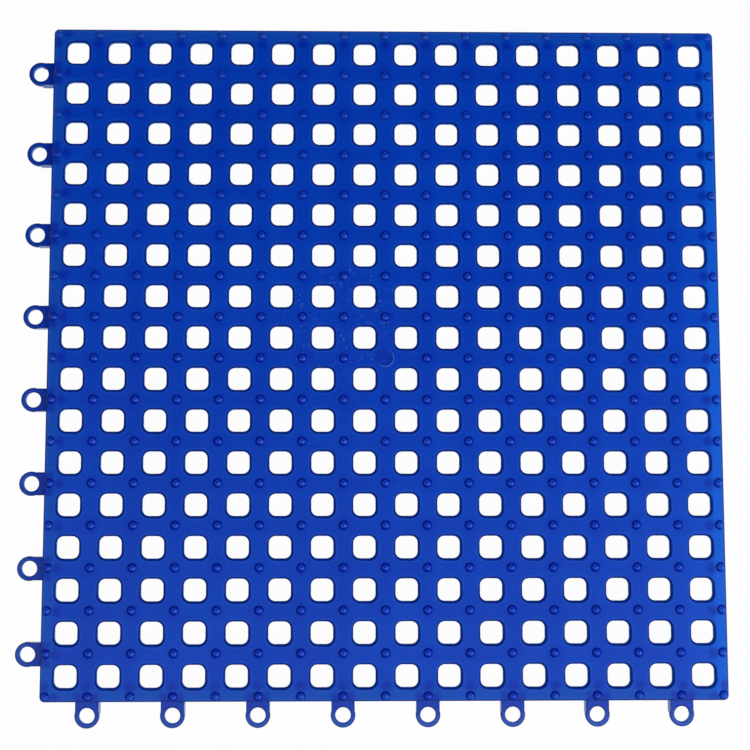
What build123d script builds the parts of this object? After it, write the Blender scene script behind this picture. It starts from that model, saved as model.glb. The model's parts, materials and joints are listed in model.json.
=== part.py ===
from build123d import *
import os

# Anti-slip floor tile: an open grid plate on short feet, moulded in one piece from soft PVC.
# Millimetres. +Z is up, the origin is the bottom of the centre foot, on the floor.
# The eyelet tabs stand out of the -X and -Y edges, and the +X and +Y edges are plain.

# grid of bars
pitch = 18.55
crossings = 17
edge_margin = 1.6
corner_radius = 2.5

# heights
foot_height = 9.0
plate_thickness = 2.0
plate_edge_bevel = 0.5

# drain holes between the bars
hole_width = 9.7
hole_corner_radius = 2.9
hole_flare = 0.9

# domed studs on the crossings, each the cap of a ball, in rows a little closer than the bars
stud_pitch = 18.47
stud_diameter = 4.3
stud_height = 1.0

# plain raised ring left by the moulding gate, in place of the centre stud
gate_diameter = 7.8
gate_wall = 0.7
gate_height = 0.3

# feet under the crossings
foot_diameter = 4.2
foot_inset = 5.4
corner_foot_inset = 2.3
foot_end_bevel = 0.5

# eyelet tabs, which take the edge feet of the next tile
joint_gap = 0.8
eye_clearance = 1.25
eye_wall = 2.05
eye_bevel = 0.6
ring_thickness = 2.6
neck_width = 9.6
neck_thickness = 5.4
root_depth = 3.8
tab_drop = 0.3

last = crossings - 1
body_size = last * pitch + 2 * edge_margin
half_size = body_size / 2
plate_top = foot_height + plate_thickness
eye_reach = half_size + joint_gap + foot_inset
eye_radius = foot_diameter / 2 + eye_clearance
eye_outer_radius = eye_radius + eye_wall
tab_top = foot_height - tab_drop
ring_bottom = tab_top - ring_thickness
plate_middle = foot_height + plate_thickness / 2


def crossing(index, spacing=pitch):
    """Distance of a row of crossings, or of other evenly spaced rows, from the tile's centre."""
    return (index - last / 2) * spacing


def foot_place(i, j):
    """The feet of the outer rows stand inside the tile's edge, those of the corners closer to it."""
    at_corner = {i, j} <= {0, last}
    limit = half_size - (corner_foot_inset if at_corner else foot_inset)
    x, y = [max(-limit, min(limit, crossing(index))) for index in (i, j)]
    return Pos(x, y, 0)


def drain_hole():
    """Negative of one hole: a rounded square shaft with a flared mouth."""
    shaft = extrude(RectangleRounded(hole_width, hole_width, hole_corner_radius), plate_top)
    mouth_width = hole_width + 2 * hole_flare
    mouth = RectangleRounded(mouth_width, mouth_width, hole_corner_radius + hole_flare)
    flare = extrude(Pos(0, 0, plate_top - hole_flare) * mouth, 2 * hole_flare)
    flare = chamfer(flare.faces().sort_by(Axis.Z)[0].edges(), hole_flare)
    return shaft + flare


def grid_plate():
    """The flat plate with its square field of drain holes."""
    outline = RectangleRounded(body_size, body_size, corner_radius)
    plate = extrude(Pos(0, 0, foot_height) * outline, plate_thickness)
    plate = chamfer(plate.faces().sort_by(Axis.Z)[-1].edges(), plate_edge_bevel)
    hole = drain_hole()
    middles = [(crossing(i) + crossing(i + 1)) / 2 for i in range(last)]
    return plate - [Pos(x, y, 0) * hole for x in middles for y in middles]


def raised(profile, height):
    """A profile that stands out of the plate's top, from the middle of the plate."""
    return extrude(Pos(0, 0, plate_middle) * profile, plate_top + height - plate_middle)


def stud():
    """One domed stud: where a post out of the plate and a ball meet."""
    radius = stud_diameter / 2
    ball_radius = (radius ** 2 + stud_height ** 2) / (2 * stud_height)
    ball = Pos(0, 0, plate_top + stud_height - ball_radius) * Sphere(ball_radius)
    return raised(Circle(radius), stud_height) & ball


def gate_ring():
    """The low ring at the centre crossing."""
    return raised(Circle(gate_diameter / 2) - Circle(gate_diameter / 2 - gate_wall), gate_height)


def foot():
    """One foot, from the floor to the middle of the plate."""
    post = extrude(Circle(foot_diameter / 2), plate_middle)
    return chamfer(post.edges().sort_by(Axis.Z)[0], foot_end_bevel)


def eye():
    """Negative of one eye, bevelled at both mouths."""
    mouth_radius = eye_radius + eye_bevel
    upright = (Align.CENTER, Align.CENTER, Align.MIN)
    hole = Cylinder(eye_radius, ring_thickness, align=upright)
    bottom_mouth = Cone(mouth_radius, eye_radius, eye_bevel, align=upright)
    top_mouth = Cone(eye_radius, mouth_radius, eye_bevel, align=upright)
    top_mouth = Pos(0, 0, ring_thickness - eye_bevel) * top_mouth
    return Pos(-eye_reach, 0, ring_bottom) * (hole + [bottom_mouth, top_mouth])


def eye_tab():
    """One eyelet on the -X edge, at y = 0: a ring, and a deeper neck from the ring's middle to the plate."""
    root_line = half_size - root_depth
    neck = Pos(-(eye_reach + root_line) / 2, 0) * Rectangle(eye_reach - root_line, neck_width)
    ring = Pos(-eye_reach, 0) * Circle(eye_outer_radius)
    relief = Pos(-eye_reach, 0) * Circle(eye_radius + eye_bevel)
    tab = extrude(Pos(0, 0, ring_bottom) * (neck + ring), ring_thickness) - eye()
    below = extrude(Pos(0, 0, tab_top - neck_thickness) * (neck - relief), neck_thickness - ring_thickness)
    root = Pos(-(half_size + root_line) / 2, 0) * Rectangle(root_depth, neck_width)
    return tab + [below, extrude(Pos(0, 0, tab_top) * root, tab_drop)]


def tile():
    """The whole moulding."""
    rows = range(crossings)
    centre = last / 2
    one_stud = stud()
    studs = [
        Pos(crossing(i, stud_pitch), crossing(j, stud_pitch), 0) * one_stud
        for i in rows for j in rows if (i, j) != (centre, centre)
    ]
    one_foot = foot()
    feet = [foot_place(i, j) * one_foot for i in rows for j in rows]
    one_tab = eye_tab()
    left = [Pos(0, crossing(i), 0) * one_tab for i in range(1, last, 2)]
    front = [Pos(crossing(i), 0, 0) * Rot(0, 0, 90) * one_tab for i in range(1, last, 2)]
    return grid_plate() + [*studs, *feet, gate_ring(), *left, *front]


os.makedirs("parts", exist_ok=True)
export_step(tile(), "parts/floor_tile.step")
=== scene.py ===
import math

import bpy
import numpy as np
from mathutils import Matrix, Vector
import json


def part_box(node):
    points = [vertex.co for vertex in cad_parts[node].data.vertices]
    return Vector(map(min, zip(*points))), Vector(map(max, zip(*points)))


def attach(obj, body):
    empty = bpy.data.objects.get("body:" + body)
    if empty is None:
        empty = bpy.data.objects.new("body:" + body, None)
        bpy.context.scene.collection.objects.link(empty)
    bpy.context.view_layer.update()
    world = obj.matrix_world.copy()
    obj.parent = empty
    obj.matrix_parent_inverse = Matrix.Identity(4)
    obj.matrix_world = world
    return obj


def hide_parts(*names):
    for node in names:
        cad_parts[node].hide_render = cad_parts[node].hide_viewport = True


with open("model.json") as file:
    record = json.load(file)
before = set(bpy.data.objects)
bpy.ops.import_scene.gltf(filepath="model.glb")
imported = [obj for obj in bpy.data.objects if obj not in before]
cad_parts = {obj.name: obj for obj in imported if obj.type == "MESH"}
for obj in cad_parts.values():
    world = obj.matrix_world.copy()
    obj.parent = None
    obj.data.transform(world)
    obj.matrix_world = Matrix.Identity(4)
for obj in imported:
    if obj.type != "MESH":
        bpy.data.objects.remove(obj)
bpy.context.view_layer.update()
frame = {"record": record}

# Lengths are in metres. The tile lies on the floor, z = 0, with its grid centred on the origin.
MM = 0.001
NODE = "floor_tile"
low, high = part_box(NODE)
mounts = {m["name"]: m for m in frame["record"]["mounts"]}

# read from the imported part
HALF = high.x
STUD_TOP = high.z
PITCH = mounts["left_eyes_inner"]["dims"]["spacing_y_mm"] * MM / 2
EYE_REACH = -mounts["left_eyes_inner"]["pos_m"][0]
EYE_RADIUS = mounts["left_eyes_inner"]["dims"]["hole_r_mm"] * MM
EYE_WALL = -low.x - EYE_REACH - EYE_RADIUS
FOOT_LINE = mounts["right_pegs_inner"]["pos_m"][0]
FOOT_RADIUS = mounts["right_pegs_inner"]["dims"]["stud_r_mm"] * MM

# grid plate
CROSSINGS = 17
STUD_HEIGHT = 1.0 * MM
PLATE_TOP = STUD_TOP - STUD_HEIGHT
PLATE = 2.0 * MM
PLATE_BOTTOM = PLATE_TOP - PLATE
CORNER_RADIUS = 2.5 * MM
RIM_ROUNDING = 0.55 * MM
HOLE_HALF = 4.85 * MM
HOLE_CORNER = 2.9 * MM
HOLE_ROUNDING = 0.9 * MM
UNDER_ROUNDING = 0.25 * MM

# studs, in rows a little closer than the bars: (radius, rise) pairs in millimetres up to the dimple
STUD_PITCH = 18.47 * MM
STUD_SECTION = [(2.15, -1.0), (2.15, 0.0), (1.97, 0.20), (1.65, 0.45)]
STUD_SECTION += [(1.28, 0.68), (0.86, 0.88), (0.46, 1.0), (0.22, 0.95)]
STUD_SIDES = 16

# gate ring
GATE_RADIUS = 3.9 * MM
GATE_WALL = 0.7 * MM
GATE_HEIGHT = 0.3 * MM
GATE_ROOT = 0.5 * MM
GATE_BEVEL = 0.12 * MM
GATE_SIDES = 40

# feet
CORNER_FOOT_INSET = 2.3 * MM
FOOT_BEVEL = 0.5 * MM
FOOT_SHOULDER = 0.3 * FOOT_BEVEL
FOOT_SIDES = 12

# eyelet tabs
EYE_LINE = EYE_REACH - HALF
NECK_HALF = 5.1 * MM
NECK_BOTTOM = 3.3 * MM
NECK_ROUNDING = 0.25 * MM
NECK_CORNER = 2 * NECK_ROUNDING
NECK_OVERLAP = 1.0 * MM
ROOT_DEPTH = 3.8 * MM
RING_BOTTOM = 6.1 * MM
TAB_TOP = 8.7 * MM
TAB_ROUNDING = 0.5 * MM
TAB_SIDES = 36
EYE_ROUNDING = 0.6 * MM
EYE_SIDES = 32

# how far a cutter reaches past what it cuts
CUTTER_PAST = 1.0 * MM

LAST = CROSSINGS - 1
rows = [(i - LAST / 2) * PITCH for i in range(CROSSINGS)]
stud_rows = [(i - LAST / 2) * STUD_PITCH for i in range(CROSSINGS)]
tab_rows = rows[1:LAST:2]


def arc(cx, cy, radius, start, stop, steps):
    """Points of an arc, angles in degrees, both ends included."""
    angles = np.radians(np.linspace(start, stop, steps + 1))
    return [(cx + radius * math.cos(a), cy + radius * math.sin(a)) for a in angles]


def circle(radius, sides, cx=0.0):
    """A circle about a point of the x axis, anticlockwise."""
    return arc(cx, 0, radius, 0, 360 - 360 / sides, sides - 1)


def rounded_box(x0, x1, half, corner, inset, steps):
    """Outline of a rounded rectangle, anticlockwise, from x0 to x1 and across y = 0, drawn inset."""
    far = half - corner
    right, left = x1 - corner, x0 + corner
    outline = []
    for quarter, (cx, cy) in enumerate([(right, far), (left, far), (left, -far), (right, -far)]):
        outline += arc(cx, cy, corner - inset, 90 * quarter, 90 * quarter + 90, steps)
    return outline


def rounding(radius, steps):
    """(inset, drop) pairs of a quarter-round edge, from the side wall to the top face."""
    angles = np.radians(np.linspace(0, 90, steps + 1))
    return [(radius * (1 - math.cos(a)), radius * (1 - math.sin(a))) for a in angles]


def strip(a, b, count):
    """Quads between two rings of vertices that start at a and b."""
    return [(a + k, a + (k + 1) % count, b + (k + 1) % count, b + k) for k in range(count)]


def stacked(rings):
    """A closed solid from rings of equal length, each (outline, z), from the bottom up."""
    count = len(rings[0][0])
    verts = [(x, y, z) for outline, z in rings for x, y in outline]
    faces = [tuple(reversed(range(count)))]
    for level in range(len(rings) - 1):
        faces += strip(level * count, (level + 1) * count, count)
    faces.append(tuple(range((len(rings) - 1) * count, len(rings) * count)))
    return verts, faces


def block(outline, bottom, top, lower_edge, upper_edge):
    """A solid between two heights with rounded edges, from a function that draws its outline inset."""
    rings = [(outline(inset), bottom + drop) for inset, drop in reversed(lower_edge)]
    rings += [(outline(inset), top - drop) for inset, drop in upper_edge]
    return stacked(rings)


def turned(profile, sides):
    """A turned solid from (radius, z) pairs, from the bottom up."""
    return stacked([(circle(radius, sides), z) for radius, z in profile])


def copies(shape, places):
    """One shape at many places, joined. A place is (x, y) or (x, y, turn in degrees)."""
    verts, faces = shape
    base = np.array(verts)
    all_verts, all_faces = [], []
    for x, y, *turn in places:
        angle = math.radians(turn[0]) if turn else 0.0
        spun = base.copy()
        spun[:, 0] = base[:, 0] * math.cos(angle) - base[:, 1] * math.sin(angle) + x
        spun[:, 1] = base[:, 0] * math.sin(angle) + base[:, 1] * math.cos(angle) + y
        start = len(all_verts) * len(base)
        all_verts.append(spun)
        all_faces += [tuple(v + start for v in face) for face in faces]
    return np.concatenate(all_verts), all_faces


def to_object(name, shape):
    """A new object in the scene from (vertices, faces)."""
    verts, faces = shape
    mesh = bpy.data.meshes.new(name)
    mesh.from_pydata([tuple(v) for v in verts], [], faces)
    obj = bpy.data.objects.new(name, mesh)
    bpy.context.scene.collection.objects.link(obj)
    return obj


def combine(obj, other, operation):
    """Applies a boolean with another closed mesh, which is then removed."""
    modifier = obj.modifiers.new(operation, "BOOLEAN")
    modifier.operation = operation
    modifier.solver = "MANIFOLD"
    modifier.object = other
    evaluated = obj.evaluated_get(bpy.context.evaluated_depsgraph_get())
    mesh = bpy.data.meshes.new_from_object(evaluated)
    obj.modifiers.clear()
    old = obj.data
    obj.data = mesh
    bpy.data.meshes.remove(old)
    bpy.data.objects.remove(other)


def slab():
    """The plate without holes, its edges rounded."""
    def outline(inset):
        return rounded_box(-HALF, HALF, HALF, CORNER_RADIUS, inset, steps=8)

    lower_edge, upper_edge = rounding(UNDER_ROUNDING, steps=2), rounding(RIM_ROUNDING, steps=4)
    return block(outline, PLATE_BOTTOM, PLATE_TOP, lower_edge, upper_edge)


def hole_cutter():
    """Negative of one drain hole: it widens towards both faces of the plate."""
    def level(grow, z):
        return rounded_box(-HOLE_HALF, HOLE_HALF, HOLE_HALF, HOLE_CORNER, -grow, steps=5), z

    lower_edge, upper_edge = rounding(UNDER_ROUNDING, steps=1), rounding(HOLE_ROUNDING, steps=3)
    rings = [level(UNDER_ROUNDING, PLATE_BOTTOM - CUTTER_PAST)]
    rings += [level(grow, PLATE_BOTTOM + drop) for grow, drop in reversed(lower_edge)]
    rings += [level(grow, PLATE_TOP - drop) for grow, drop in upper_edge]
    rings.append(level(HOLE_ROUNDING, PLATE_TOP + CUTTER_PAST))
    return stacked(rings)


def stud():
    """A low dome with a small dimple in its middle, rooted in the plate."""
    return turned([(radius * MM, PLATE_TOP + rise * MM) for radius, rise in STUD_SECTION], STUD_SIDES)


def gate_ring():
    """The low ring at the centre crossing."""
    outer, inner = GATE_RADIUS, GATE_RADIUS - GATE_WALL
    bottom, top = PLATE_TOP - GATE_ROOT, PLATE_TOP + GATE_HEIGHT
    section = [(outer, bottom), (outer, top - GATE_BEVEL), (outer - GATE_BEVEL, top)]
    section += [(inner + GATE_BEVEL, top), (inner, top - GATE_BEVEL), (inner, bottom)]
    verts = [(x, y, z) for radius, z in section for x, y in circle(radius, GATE_SIDES)]
    faces = []
    for level in range(len(section)):
        faces += strip(level * GATE_SIDES, (level + 1) % len(section) * GATE_SIDES, GATE_SIDES)
    return verts, faces


def foot():
    """A post from the floor to the middle of the plate, with a slightly rounded bevel at its end."""
    profile = [
        (FOOT_RADIUS - FOOT_BEVEL, 0.0),
        (FOOT_RADIUS - FOOT_SHOULDER, FOOT_SHOULDER),
        (FOOT_RADIUS, FOOT_BEVEL),
        (FOOT_RADIUS, PLATE_BOTTOM + PLATE / 2),
    ]
    return turned(profile, FOOT_SIDES)


def foot_places():
    """The outer rows of feet stand inside the edge, those of the corners closer to it."""
    places = []
    for x in rows:
        for y in rows:
            corner = abs(x) == abs(y) == rows[-1]
            limit = HALF - CORNER_FOOT_INSET if corner else FOOT_LINE
            places.append((max(-limit, min(limit, x)), max(-limit, min(limit, y))))
    return places


def tab_ring():
    """The ring of a tab that points to -X, still without its eye."""
    def outline(inset):
        return circle(EYE_RADIUS + EYE_WALL - inset, TAB_SIDES, cx=-EYE_REACH)

    edge = rounding(TAB_ROUNDING, steps=3)
    return block(outline, RING_BOTTOM, TAB_TOP, edge, edge)


def neck():
    """The deeper neck, from the ring's middle to its root under the plate."""
    def outline(inset):
        return rounded_box(-EYE_REACH, -HALF + ROOT_DEPTH, NECK_HALF, NECK_CORNER, inset, steps=2)

    edge = rounding(NECK_ROUNDING, steps=2)
    return block(outline, NECK_BOTTOM, TAB_TOP, edge, edge)


def neck_top():
    """The part of a neck under the plate, which is high enough to join it."""
    x0, x1 = -HALF + RIM_ROUNDING, -HALF + ROOT_DEPTH - NECK_CORNER
    half = NECK_HALF - NECK_CORNER
    outline = [(x1, -half), (x1, half), (x0, half), (x0, -half)]
    return stacked([(outline, TAB_TOP - NECK_OVERLAP), (outline, PLATE_BOTTOM + UNDER_ROUNDING)])


def eye_cutter():
    """Negative of a tab's eye, its mouths rounded, with the relief in the neck below it."""
    mouth = rounding(EYE_ROUNDING, steps=4)
    profile = [(EYE_RADIUS + EYE_ROUNDING, NECK_BOTTOM - CUTTER_PAST)]
    profile += [(EYE_RADIUS + grow, RING_BOTTOM + drop) for grow, drop in reversed(mouth)]
    profile += [(EYE_RADIUS + grow, TAB_TOP - drop) for grow, drop in mouth]
    profile.append((EYE_RADIUS + EYE_ROUNDING, TAB_TOP + CUTTER_PAST))
    return turned(profile, EYE_SIDES)


def moulding():
    """The whole tile as one closed mesh."""
    tile = to_object("tile_moulding", slab())
    middles = [(a + b) / 2 for a, b in zip(rows, rows[1:])]
    holes = to_object("holes", copies(hole_cutter(), [(x, y) for x in middles for y in middles]))
    combine(tile, holes, "DIFFERENCE")
    tab_places = [(0, y, 0) for y in tab_rows] + [(x, 0, 90) for x in tab_rows]
    tabs = to_object("tabs", copies(tab_ring(), tab_places))
    combine(tabs, to_object("necks", copies(neck(), tab_places)), "UNION")
    combine(tabs, to_object("neck_tops", copies(neck_top(), tab_places)), "UNION")
    eye_places = [(-EYE_REACH, y) for y in tab_rows] + [(x, -EYE_REACH) for x in tab_rows]
    combine(tabs, to_object("eyes", copies(eye_cutter(), eye_places)), "DIFFERENCE")
    combine(tile, tabs, "UNION")
    combine(tile, to_object("feet", copies(foot(), foot_places())), "UNION")
    centre = stud_rows[LAST // 2]
    stud_places = [(x, y) for x in stud_rows for y in stud_rows if (x, y) != (centre, centre)]
    combine(tile, to_object("studs", copies(stud(), stud_places)), "UNION")
    combine(tile, to_object("gate", gate_ring()), "UNION")
    return tile


def shade(obj):
    """Smooth normals that keep level faces flat and let rounded edges run into them."""
    crease = math.cos(math.radians(38))
    upright = 0.9999
    mesh = obj.data
    count = len(mesh.polygons)
    normals = np.empty(count * 3)
    areas = np.empty(count)
    mesh.polygons.foreach_get("normal", normals)
    mesh.polygons.foreach_get("area", areas)
    normals = normals.reshape(-1, 3)
    level = np.abs(normals[:, 2]) > upright
    around = [[] for _ in mesh.vertices]
    for polygon in mesh.polygons:
        for v in polygon.vertices:
            around[v].append(polygon.index)
    custom = []
    for polygon in mesh.polygons:
        own = normals[polygon.index]
        for v in polygon.vertices:
            if level[polygon.index]:
                custom.append(tuple(own))
                continue
            near = [f for f in around[v] if normals[f] @ own > crease]
            flats = [f for f in near if level[f]]
            if flats:
                custom.append(tuple(normals[flats[0]]))
                continue
            total = (normals[near] * areas[near, None]).sum(0)
            custom.append(tuple(total / np.linalg.norm(total)))
    for polygon in mesh.polygons:
        polygon.use_smooth = True
    mesh.normals_split_custom_set(custom)


tile = moulding()
shade(tile)
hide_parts(NODE)
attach(tile, "root")


class Graph:
    """Short ways to add and join shader nodes."""

    def __init__(self, owner):
        owner.use_nodes = True
        self.nodes = owner.node_tree.nodes
        self.links = owner.node_tree.links
        self.nodes.clear()

    def add(self, kind, **settings):
        node = self.nodes.new(kind)
        for key, value in settings.items():
            setattr(node, key, value)
        return node

    def feed(self, socket, value):
        """Links an output to a socket, or sets the socket's own value."""
        if hasattr(value, "is_output"):
            self.links.new(value, socket)
        else:
            socket.default_value = value

    def split(self, vector):
        node = self.add("ShaderNodeSeparateXYZ")
        self.feed(node.inputs[0], vector)
        return node.outputs

    def math(self, operation, *values):
        node = self.add("ShaderNodeMath", operation=operation)
        for socket, value in zip(node.inputs, values):
            self.feed(socket, value)
        return node.outputs[0]

    def chain(self, operation, values):
        """One operation over two values or more."""
        result = values[0]
        for value in values[1:]:
            result = self.math(operation, result, value)
        return result

    def plus(self, *values):
        return self.chain("ADD", values)

    def times(self, *values):
        return self.chain("MULTIPLY", values)

    def most(self, *values):
        return self.chain("MAXIMUM", values)

    def least(self, *values):
        return self.chain("MINIMUM", values)

    def minus(self, a, b):
        return self.math("SUBTRACT", a, b)

    def magnitude(self, value):
        return self.math("ABSOLUTE", value)

    def above(self, value, limit):
        """1 above the limit and 0 elsewhere."""
        return self.math("GREATER_THAN", value, limit)

    def below(self, value, limit):
        """1 below the limit and 0 elsewhere."""
        return self.math("LESS_THAN", value, limit)

    def unless(self, mask):
        """The reverse of a mask."""
        return self.minus(1.0, mask)

    def length(self, a, b):
        return self.math("SQRT", self.plus(self.times(a, a), self.times(b, b)))

    def distance(self, x, y, place):
        """How far (x, y) lies from a place."""
        return self.length(self.minus(x, place[0]), self.minus(y, place[1]))

    def centred(self, value, spacing):
        """Signed distance from the nearest of many evenly spaced lines, one of them at 0."""
        return self.math("WRAP", value, spacing / 2, -spacing / 2)

    def off_row(self, value, spacing, shift=0.0):
        """Distance from the nearest of many evenly spaced lines, one of them at shift."""
        return self.magnitude(self.centred(self.minus(value, shift), spacing))

    def step(self, value, start, full):
        """0 at start and 1 at full, smooth between them, whichever of them is the larger."""
        node = self.add("ShaderNodeMapRange", interpolation_type="SMOOTHSTEP")
        self.feed(node.inputs["Value"], value)
        self.feed(node.inputs["From Min"], start)
        self.feed(node.inputs["From Max"], full)
        return node.outputs[0]

    def band(self, value, inner, outer, soft):
        """1 from inner to outer, with soft ends."""
        opening = self.step(value, inner - soft, inner + soft)
        return self.times(opening, self.step(value, outer + soft, outer - soft))

    def noise(self, vector, scale, detail=2.0, rough=0.5):
        node = self.add("ShaderNodeTexNoise")
        self.feed(node.inputs["Vector"], vector)
        node.inputs["Scale"].default_value = scale
        node.inputs["Detail"].default_value = detail
        node.inputs["Roughness"].default_value = rough
        return node.outputs[0]

    def scatter(self, vector, scale):
        """Distance from the nearest of many scattered points, as a share of their spacing."""
        node = self.add("ShaderNodeTexVoronoi")
        self.feed(node.inputs["Vector"], vector)
        node.inputs["Scale"].default_value = scale
        return node.outputs["Distance"]

    def mix(self, share, a, b):
        node = self.add("ShaderNodeMix", data_type="RGBA")
        self.feed(node.inputs["Factor"], share)
        self.feed(node.inputs["A"], a)
        self.feed(node.inputs["B"], b)
        return node.outputs["Result"]

    def coat(self, under, paint, share, *masks):
        """A share of paint over a colour, where all the masks are 1."""
        return self.mix(self.times(*masks, share), under, paint)


def colour(red, green, blue):
    """A linear colour from sRGB values of 0 to 255."""
    def linear(value):
        value /= 255
        return value / 12.92 if value <= 0.04045 else ((value + 0.055) / 1.055) ** 2.4
    return (linear(red), linear(green), linear(blue), 1.0)


# painted light and shade of what shows through the plate: where each mark starts and where it is full
RIGHT_SIDE = (HALF - 38.0 * MM, HALF)
BORDER = (7.5 * MM, 3.5 * MM)
RIGHT_BORDER = (HALF - 9.0 * MM, HALF - 4.0 * MM)
INNER_FOOT = (5.5 * MM, 2.0 * MM)
EDGE_FOOT = (3.4 * MM, 0.8 * MM)
ROOT = (1.4 * MM, -1.2 * MM)

# the line on which the painted shade of the edge feet lies, a little inside their own
EDGE_FOOT_LINE = FOOT_LINE - 1.0 * MM

# across the tile, from its back left to its front right: studs ringed with painted shade, and tabs paler
# with painted light
RINGED = (-130.0 * MM, -30.0 * MM)
PALER = (-300.0 * MM, 300.0 * MM)

# painted light and shade of a stud, by the distance from its middle, and where its painted glint lies
STUD_SHADE = (3.3 * MM, 1.6 * MM)
STUD_MIDDLE_LIGHT = (1.5 * MM, 1.1 * MM)
STUD_OPENING = (0.9 * MM, 1.9 * MM)
STUD_DIMPLE_SHADE = (0.55 * MM, 0.2 * MM)
STUD_PAINTED_GLINT = (0.8 * MM, 0.2 * MM)
STUD_PAINTED_GLINT_PLACE = (0.75 * MM, -0.5 * MM)

# marks of the gate, with the side of its painted highlight, and the scuffed patch beside it
GATE_DISC = (GATE_RADIUS, GATE_RADIUS - 0.8 * MM)
GATE_LIGHT = (-4.0 * MM, 4.0 * MM)
WORN = (36.0 * MM, 16.0 * MM)
WORN_PLACE = (-18.0 * MM, 18.0 * MM)

# marks of a tab: its far half paler with painted light, along it, and its outlines of painted shade,
# further out on the ring by RING_EXTRA
FAR_HALF = (EYE_LINE - 3.5 * MM, EYE_LINE + 2.5 * MM)
TAB_OUTLINE = (NECK_HALF - 0.8 * MM, NECK_HALF - 0.35 * MM)
EYE_OUTLINE = (EYE_RADIUS + 1.1 * MM, EYE_RADIUS + 0.5 * MM)
RING_EXTRA = EYE_RADIUS + EYE_WALL - NECK_HALF

# painted shade on the edges, in from the tile's edge and off a hole's shaft
EDGE_LINE_SHADE = (0.75 * MM, 0.45 * MM)
HOLE_RIM_SHADE = (1.15 * MM, 0.65 * MM)
PAINTED_EDGE_SHADE = colour(4, 32, 112)

# bands of painted light and shade, each from an inner to an outer distance, with the softness of its ends
STUD_RING_SHADE = (1.45 * MM, 2.1 * MM, 0.15 * MM)
GATE_HIGHLIGHT_LINE = (GATE_RADIUS - 0.3 * MM, GATE_RADIUS, 0.2 * MM)
EDGE_LIP_LIGHT = (0.85 * MM, 1.5 * MM, 0.2 * MM)
HOLE_LIP_LIGHT = (1.2 * MM, 1.6 * MM, 0.2 * MM)

# heights: what counts as raised above the plate, and where its upper wall starts
RAISED = PLATE_TOP + 0.02 * MM
UPPER_WALL = PLATE_TOP - 1.2 * MM


class Spot:
    """Where a spot of the tile lies: its place, its distances from what is near, and masks of 0 to 1."""

    def __init__(self, g):
        coords = g.add("ShaderNodeTexCoord")
        self.place = coords.outputs["Object"]
        self.x, self.y, self.z = g.split(self.place)
        self.facing = g.magnitude(g.split(coords.outputs["Normal"])[2])
        self.far_x, self.far_y = g.magnitude(self.x), g.magnitude(self.y)
        self.row_x, self.row_y = g.off_row(self.x, PITCH), g.off_row(self.y, PITCH)
        self.depth = g.minus(HALF, g.most(self.far_x, self.far_y))
        self.tile = g.above(self.depth, 0.0)
        self.not_raised = g.unless(g.times(g.above(self.z, RAISED), self.tile))
        self.find_hole(g)
        self.find_stud(g)
        self.find_foot(g)
        self.find_tab(g)

    def find_hole(self, g):
        """Off a hole's shaft. Towards the front right the distance counts as a little less, because the
        painted shade of the rim is wider there."""
        rim_skew = 0.03
        flat = HOLE_HALF - HOLE_CORNER
        hole_x = g.most(g.minus(g.minus(PITCH / 2, self.row_x), flat), 0.0)
        hole_y = g.most(g.minus(g.minus(PITCH / 2, self.row_y), flat), 0.0)
        skew = g.minus(g.math("WRAP", self.y, PITCH, 0.0), g.math("WRAP", self.x, PITCH, 0.0))
        off_shaft = g.minus(g.length(hole_x, hole_y), HOLE_CORNER)
        self.off_hole = g.plus(off_shaft, g.times(skew, rim_skew))
        self.rim = g.times(g.step(self.off_hole, *HOLE_RIM_SHADE), self.tile)

    def find_stud(self, g):
        """Off the middle of a stud, which the gate's crossing doesn't have."""
        self.off_gate = g.length(self.x, self.y)
        by_gate = g.below(self.off_gate, PITCH / 2)
        self.clear_of_gate = g.unless(by_gate)
        self.stud_x, self.stud_y = g.centred(self.x, STUD_PITCH), g.centred(self.y, STUD_PITCH)
        self.off_stud = g.plus(g.length(self.stud_x, self.stud_y), g.times(by_gate, PITCH))

    def find_foot(self, g):
        """Over a foot, of the edge rows or of the inner ones."""
        side_foot = g.length(g.minus(self.far_x, EDGE_FOOT_LINE), self.row_y)
        end_foot = g.length(g.minus(self.far_y, EDGE_FOOT_LINE), self.row_x)
        self.edge_foot = g.step(g.least(side_foot, end_foot), *EDGE_FOOT)
        inner = g.times(g.above(self.depth, PITCH / 2), self.clear_of_gate)
        self.inner_foot = g.times(g.step(g.length(self.row_x, self.row_y), *INNER_FOOT), inner)

    def find_tab(self, g):
        """Along a tab from the tile's edge, across it, off its eye, and over its root under the plate."""
        on_left = g.below(self.x, self.y)
        self.along = g.minus(g.most(g.times(self.x, -1.0), g.times(self.y, -1.0)), HALF)
        across_left = g.off_row(self.y, 2 * PITCH, PITCH)
        across_front = g.off_row(self.x, 2 * PITCH, PITCH)
        self.across = g.plus(g.times(on_left, across_left), g.times(g.unless(on_left), across_front))
        self.tab = g.above(self.along, 0.0)
        self.off_eye = g.length(g.minus(self.along, EYE_LINE), self.across)

        def outside_root(inward, sideways):
            return g.most(g.minus(sideways, NECK_HALF), g.minus(inward, ROOT_DEPTH))

        left_root = outside_root(g.plus(self.x, HALF), across_left)
        front_root = outside_root(g.plus(self.y, HALF), across_front)
        self.root = g.times(g.step(g.least(left_root, front_root), *ROOT), self.tile)


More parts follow.
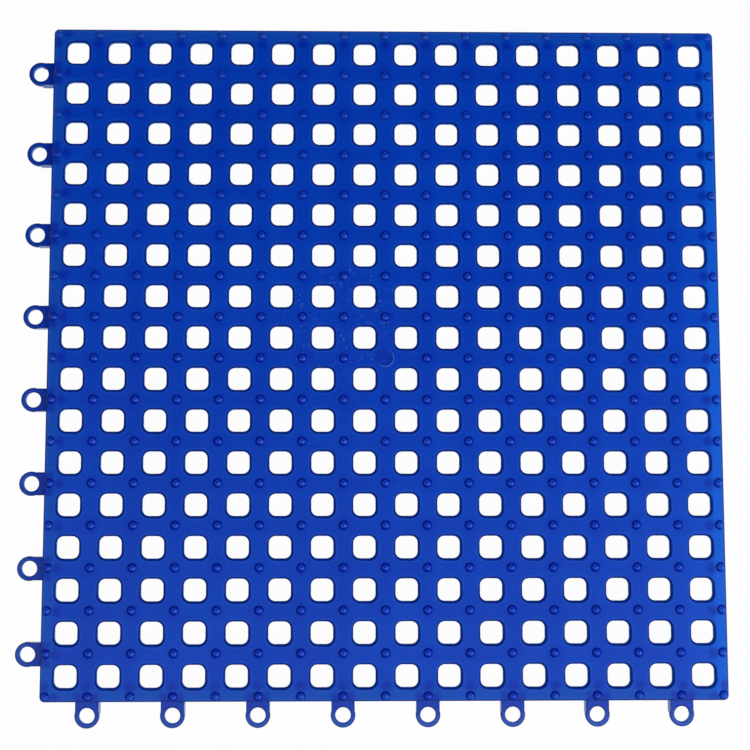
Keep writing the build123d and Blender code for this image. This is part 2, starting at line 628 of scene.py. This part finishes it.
def plate_paint(g, at):
    """The body's colour: a little uneven, with painted light brighter at the right and at the border,
    which light comes through, and painted shade deeper over the feet and the roots of the tabs and round
    the studs."""
    drift = g.step(g.noise(at.place, scale=14.0, detail=3.0), 0.35, 0.65)
    patch = g.step(g.noise(at.place, scale=75.0, detail=4.0, rough=0.6), 0.42, 0.60)
    mottle = g.step(g.noise(at.place, scale=220.0, detail=3.0, rough=0.6), 0.40, 0.72)
    body = g.mix(drift, colour(0, 57, 176), colour(0, 62, 182))
    body = g.coat(body, colour(1, 53, 173), 0.5, patch)
    body = g.coat(body, colour(0, 48, 167), 0.3, mottle)
    # painted light: brighter towards the right, where more light comes through
    body = g.coat(body, colour(0, 74, 194), 0.6, g.step(at.x, *RIGHT_SIDE))
    # painted light at the border, which light comes through
    border = g.mix(g.step(at.x, *RIGHT_BORDER), colour(14, 72, 172), colour(6, 92, 208))
    body = g.coat(body, border, 0.75, g.step(at.depth, *BORDER), at.tile)
    # painted shade over the feet, the roots of the tabs and round the studs, where less light comes
    # through
    painted_shade = colour(0, 34, 156)
    body = g.coat(body, painted_shade, 0.15, at.inner_foot)
    body = g.coat(body, painted_shade, 0.75, g.most(at.edge_foot, at.root))
    return g.coat(body, painted_shade, 0.3, g.step(at.off_stud, *STUD_SHADE))


def stud_paint(g, at, body):
    """A ring of painted shade in each stud, open towards the front right where the light falls, round a
    middle lightened with painted light, with a painted glint and a small dimple darkened with painted
    shade. All of it fades out towards the back left of the tile."""
    ringed = g.step(g.minus(g.times(at.x, 0.4), at.y), *RINGED)
    # painted light in the stud's middle
    body = g.coat(body, colour(2, 58, 192), 0.4, g.step(at.off_stud, *STUD_MIDDLE_LIGHT), ringed)
    # painted shade of the ring, open towards the front right, where the light falls
    to_front_right = g.minus(at.stud_x, g.times(at.stud_y, 0.6))
    closed = g.unless(g.times(g.step(to_front_right, *STUD_OPENING), 0.6))
    ring = g.times(g.band(at.off_stud, *STUD_RING_SHADE), closed, g.plus(g.times(ringed, 0.8), 0.15))
    body = g.mix(ring, body, colour(0, 14, 132))
    # a painted glint in the stud
    shine = g.step(g.distance(at.stud_x, at.stud_y, STUD_PAINTED_GLINT_PLACE), *STUD_PAINTED_GLINT)
    body = g.coat(body, colour(60, 96, 210), 0.5, shine, ringed, at.clear_of_gate)
    # painted shade in the dimple
    return g.coat(body, colour(0, 34, 158), 0.5, g.step(at.off_stud, *STUD_DIMPLE_SHADE), ringed)


def gate_paint(g, at, body):
    """The gate's disc, duller than the plate, with a painted highlight as a pale line at its front right.
    """
    body = g.coat(body, colour(0, 38, 150), 0.55, g.step(at.off_gate, *GATE_DISC))
    # painted highlight on the ring's side towards the light
    light_side = g.step(g.minus(at.x, at.y), *GATE_LIGHT)
    return g.coat(body, colour(84, 128, 212), 0.75, g.band(at.off_gate, *GATE_HIGHLIGHT_LINE), light_side)


def wear_paint(g, at, body):
    """Faint scuffs and pale specks behind the gate and to its left."""
    worn = g.step(g.distance(at.x, at.y, WORN_PLACE), *WORN)
    scuff = g.step(g.noise(at.place, scale=420.0, detail=5.0, rough=0.7), 0.54, 0.66)
    body = g.coat(body, colour(50, 92, 200), 0.35, scuff, worn)
    speck = g.step(g.scatter(at.place, scale=560.0), 0.17, 0.09)
    cluster = g.step(g.noise(at.place, scale=130.0), 0.50, 0.57)
    return g.coat(body, colour(140, 170, 235), 0.6, speck, cluster, worn)


def tab_paint(g, at, body):
    """The tabs, with painted light towards the front right and in the far halves of their rings, outlined
    with painted shade.
    """
    paler = g.step(g.minus(at.x, at.y), *PALER)
    # painted shade near the tile and painted light in the ring's far half, both paler towards the front
    # right
    near_shaded_paint = g.mix(paler, colour(0, 43, 158), colour(26, 59, 170))
    far_lit_paint = g.mix(paler, colour(5, 54, 150), colour(46, 82, 172))
    far_half = g.step(at.along, *FAR_HALF)
    tab = g.mix(far_half, near_shaded_paint, far_lit_paint)
    beyond_eye = g.above(at.along, EYE_LINE)
    neck_side = g.times(g.unless(beyond_eye), at.across)
    ring_side = g.times(beyond_eye, g.minus(at.off_eye, RING_EXTRA))
    outline = g.step(g.most(neck_side, ring_side), *TAB_OUTLINE)
    eye_outline = g.times(g.step(at.off_eye, *EYE_OUTLINE), g.unless(far_half))
    # painted shade on the outlines of the tab and its eye
    tab = g.coat(tab, PAINTED_EDGE_SHADE, 0.65, g.most(outline, eye_outline))
    return g.mix(at.tab, body, tab)


def edge_paint(g, at, body):
    """Painted shade on rounded edges, with a faint pale lip of painted light, and upright walls paler
    with painted light.
    """
    # painted light on the thin lip, which light comes through
    lip = g.most(g.band(at.depth, *EDGE_LIP_LIGHT), g.band(at.off_hole, *HOLE_LIP_LIGHT))
    body = g.coat(body, colour(44, 92, 180), 0.25, lip, at.tile, g.unless(at.root))
    # painted shade on steep rounded edges, on the holes' rims and along the tile's edge
    steep = g.times(g.step(at.facing, 0.97, 0.72), at.tile)
    edge_shade_line = g.times(g.step(at.depth, *EDGE_LINE_SHADE), g.above(at.z, TAB_TOP), at.tile)
    body = g.coat(body, PAINTED_EDGE_SHADE, 0.9, g.most(steep, at.rim, edge_shade_line), at.not_raised)
    # painted light on the upright walls, which light comes through
    steep_enough = g.plus(0.45, g.times(at.tile, 0.2))
    wall = g.step(at.facing, steep_enough, 0.15)
    tile_wall_light = g.mix(g.above(at.z, UPPER_WALL), colour(60, 112, 200), colour(10, 130, 235))
    wall_painted_light = g.mix(at.tile, colour(110, 150, 225), tile_wall_light)
    return g.coat(body, wall_painted_light, 0.8, wall, at.not_raised)


def blue_pvc():
    """Glossy, slightly translucent blue PVC. Its painted light and shade stand for the light that comes
    through the thin places and is lost in the thick ones."""
    material = bpy.data.materials.new("blue_pvc")
    g = Graph(material)
    at = Spot(g)
    body = plate_paint(g, at)
    for paint in (stud_paint, gate_paint, wear_paint, tab_paint, edge_paint):
        body = paint(g, at, body)

    # edges shine less than the flat faces
    dull = g.most(g.step(at.facing, 0.9, 0.5), at.rim)
    shader = g.add("ShaderNodeBsdfPrincipled")
    g.feed(shader.inputs["Base Color"], body)
    uneven = g.times(g.noise(at.place, scale=60.0, detail=3.0), 0.12)
    g.feed(shader.inputs["Roughness"], g.plus(0.22, uneven))
    g.feed(shader.inputs["Specular IOR Level"], g.minus(0.5, g.times(dull, 0.42)))
    shader.inputs["IOR"].default_value = 1.53
    bump = g.add("ShaderNodeBump")
    bump.inputs["Strength"].default_value = 0.2
    bump.inputs["Distance"].default_value = 0.3 * MM
    waves, grain = g.noise(at.place, scale=90.0), g.noise(at.place, scale=500.0)
    g.feed(bump.inputs["Height"], g.plus(waves, grain))
    g.feed(shader.inputs["Normal"], bump.outputs[0])
    out = g.add("ShaderNodeOutputMaterial")
    g.feed(out.inputs["Surface"], shader.outputs[0])
    return material


tile.data.materials.clear()
tile.data.materials.append(blue_pvc())


def floor():
    """A plain white floor that is seen and mirrored as white, with the tile's soft shadow."""
    reach = 4.0
    glow_share = 0.97
    corners = [(-reach, -reach, 0), (reach, -reach, 0), (reach, reach, 0), (-reach, reach, 0)]
    obj = to_object("floor", (corners, [(0, 1, 2, 3)]))
    material = bpy.data.materials.new("floor")
    g = Graph(material)
    white = g.add("ShaderNodeBsdfDiffuse")
    white.inputs["Color"].default_value = (0.8, 0.8, 0.8, 1)
    glow = g.add("ShaderNodeEmission")
    glow.inputs["Color"].default_value = (1, 1, 1, 1)
    rays = g.add("ShaderNodeLightPath").outputs
    seen = g.most(rays["Is Camera Ray"], rays["Is Glossy Ray"], rays["Is Transmission Ray"])
    blend = g.add("ShaderNodeMixShader")
    g.feed(blend.inputs["Fac"], g.times(seen, glow_share))
    g.feed(blend.inputs[1], white.outputs[0])
    g.feed(blend.inputs[2], glow.outputs[0])
    out = g.add("ShaderNodeOutputMaterial")
    g.feed(out.inputs["Surface"], blend.outputs[0])
    obj.data.materials.append(material)


def surround():
    """A surround that is seen as white. The tile mirrors a bluish light in it, which is overhead and
    fades from the front towards the back."""
    fade_end, fade_length, brightest = 0.30, 0.45, 1.1
    strength = 0.78
    world = bpy.data.worlds.new("surround")
    bpy.context.scene.world = world
    g = Graph(world)
    direction = g.split(g.add("ShaderNodeTexCoord").outputs["Generated"])
    rays = g.add("ShaderNodeLightPath").outputs
    frontness = g.math("DIVIDE", g.minus(fade_end, direction[1]), fade_length)
    fade = g.math("POWER", g.least(g.most(frontness, 0.0), brightest), 2.0)
    overhead = g.step(direction[2], 0.5, 0.8)
    mirrored = g.times(fade, overhead, strength, rays["Is Glossy Ray"])
    seen = g.most(rays["Is Camera Ray"], rays["Is Transmission Ray"])
    glow = g.add("ShaderNodeBackground")
    g.feed(glow.inputs["Strength"], g.plus(seen, mirrored))
    g.feed(glow.inputs["Color"], g.mix(rays["Is Glossy Ray"], (1, 1, 1, 1), (0.62, 0.93, 1.0, 1)))
    out = g.add("ShaderNodeOutputWorld")
    g.feed(out.inputs["Surface"], glow.outputs[0])


def area_light(name, place, width, depth, power, mirrored=False, tint=(1, 1, 1)):
    """A rectangular soft box aimed at the tile. Only a mirrored one shows in the tile's gloss."""
    data = bpy.data.lights.new(name, "AREA")
    data.shape = "RECTANGLE"
    data.size = width
    data.size_y = depth
    data.energy = power
    data.color = tint
    obj = bpy.data.objects.new(name, data)
    obj.location = place
    obj.rotation_euler = (-Vector(place)).to_track_quat("-Z", "Y").to_euler()
    obj.visible_glossy = mirrored
    bpy.context.scene.collection.objects.link(obj)


def lamps():
    """Soft boxes on four sides, and a small bluish window at the right that glints in the studs."""
    area_light("near_fill", (0.15, -0.65, 1.10), 1.8, 0.15, power=9.5)
    area_light("left_fill", (-1.2, -0.1, 0.9), 1.2, 1.2, power=5.2)
    area_light("right_fill", (1.2, -0.2, 0.9), 1.2, 1.2, power=11.5)
    area_light("far_fill", (0.0, 1.4, 0.9), 1.2, 1.2, power=6.5)
    area_light("window", (0.85, -0.25, 0.85), 0.7, 0.3, power=2.2, mirrored=True, tint=(0.4, 0.65, 1.0))


def camera():
    """The photograph's view, solved from the centres of the drain holes."""
    focal_px = 1300.0
    picture_px = 750.0
    data = bpy.data.cameras.new("camera")
    data.sensor_width = 36.0
    data.lens = data.sensor_width * focal_px / picture_px
    obj = bpy.data.objects.new("camera", data)
    obj.location = (-0.01509, -0.06141, 0.58640)
    obj.rotation_euler = [math.radians(angle) for angle in (5.348, -1.043, -0.032)]
    bpy.context.scene.collection.objects.link(obj)
    bpy.context.scene.camera = obj


floor()
surround()
lamps()
camera()
bpy.context.scene.view_settings.view_transform = "Standard"
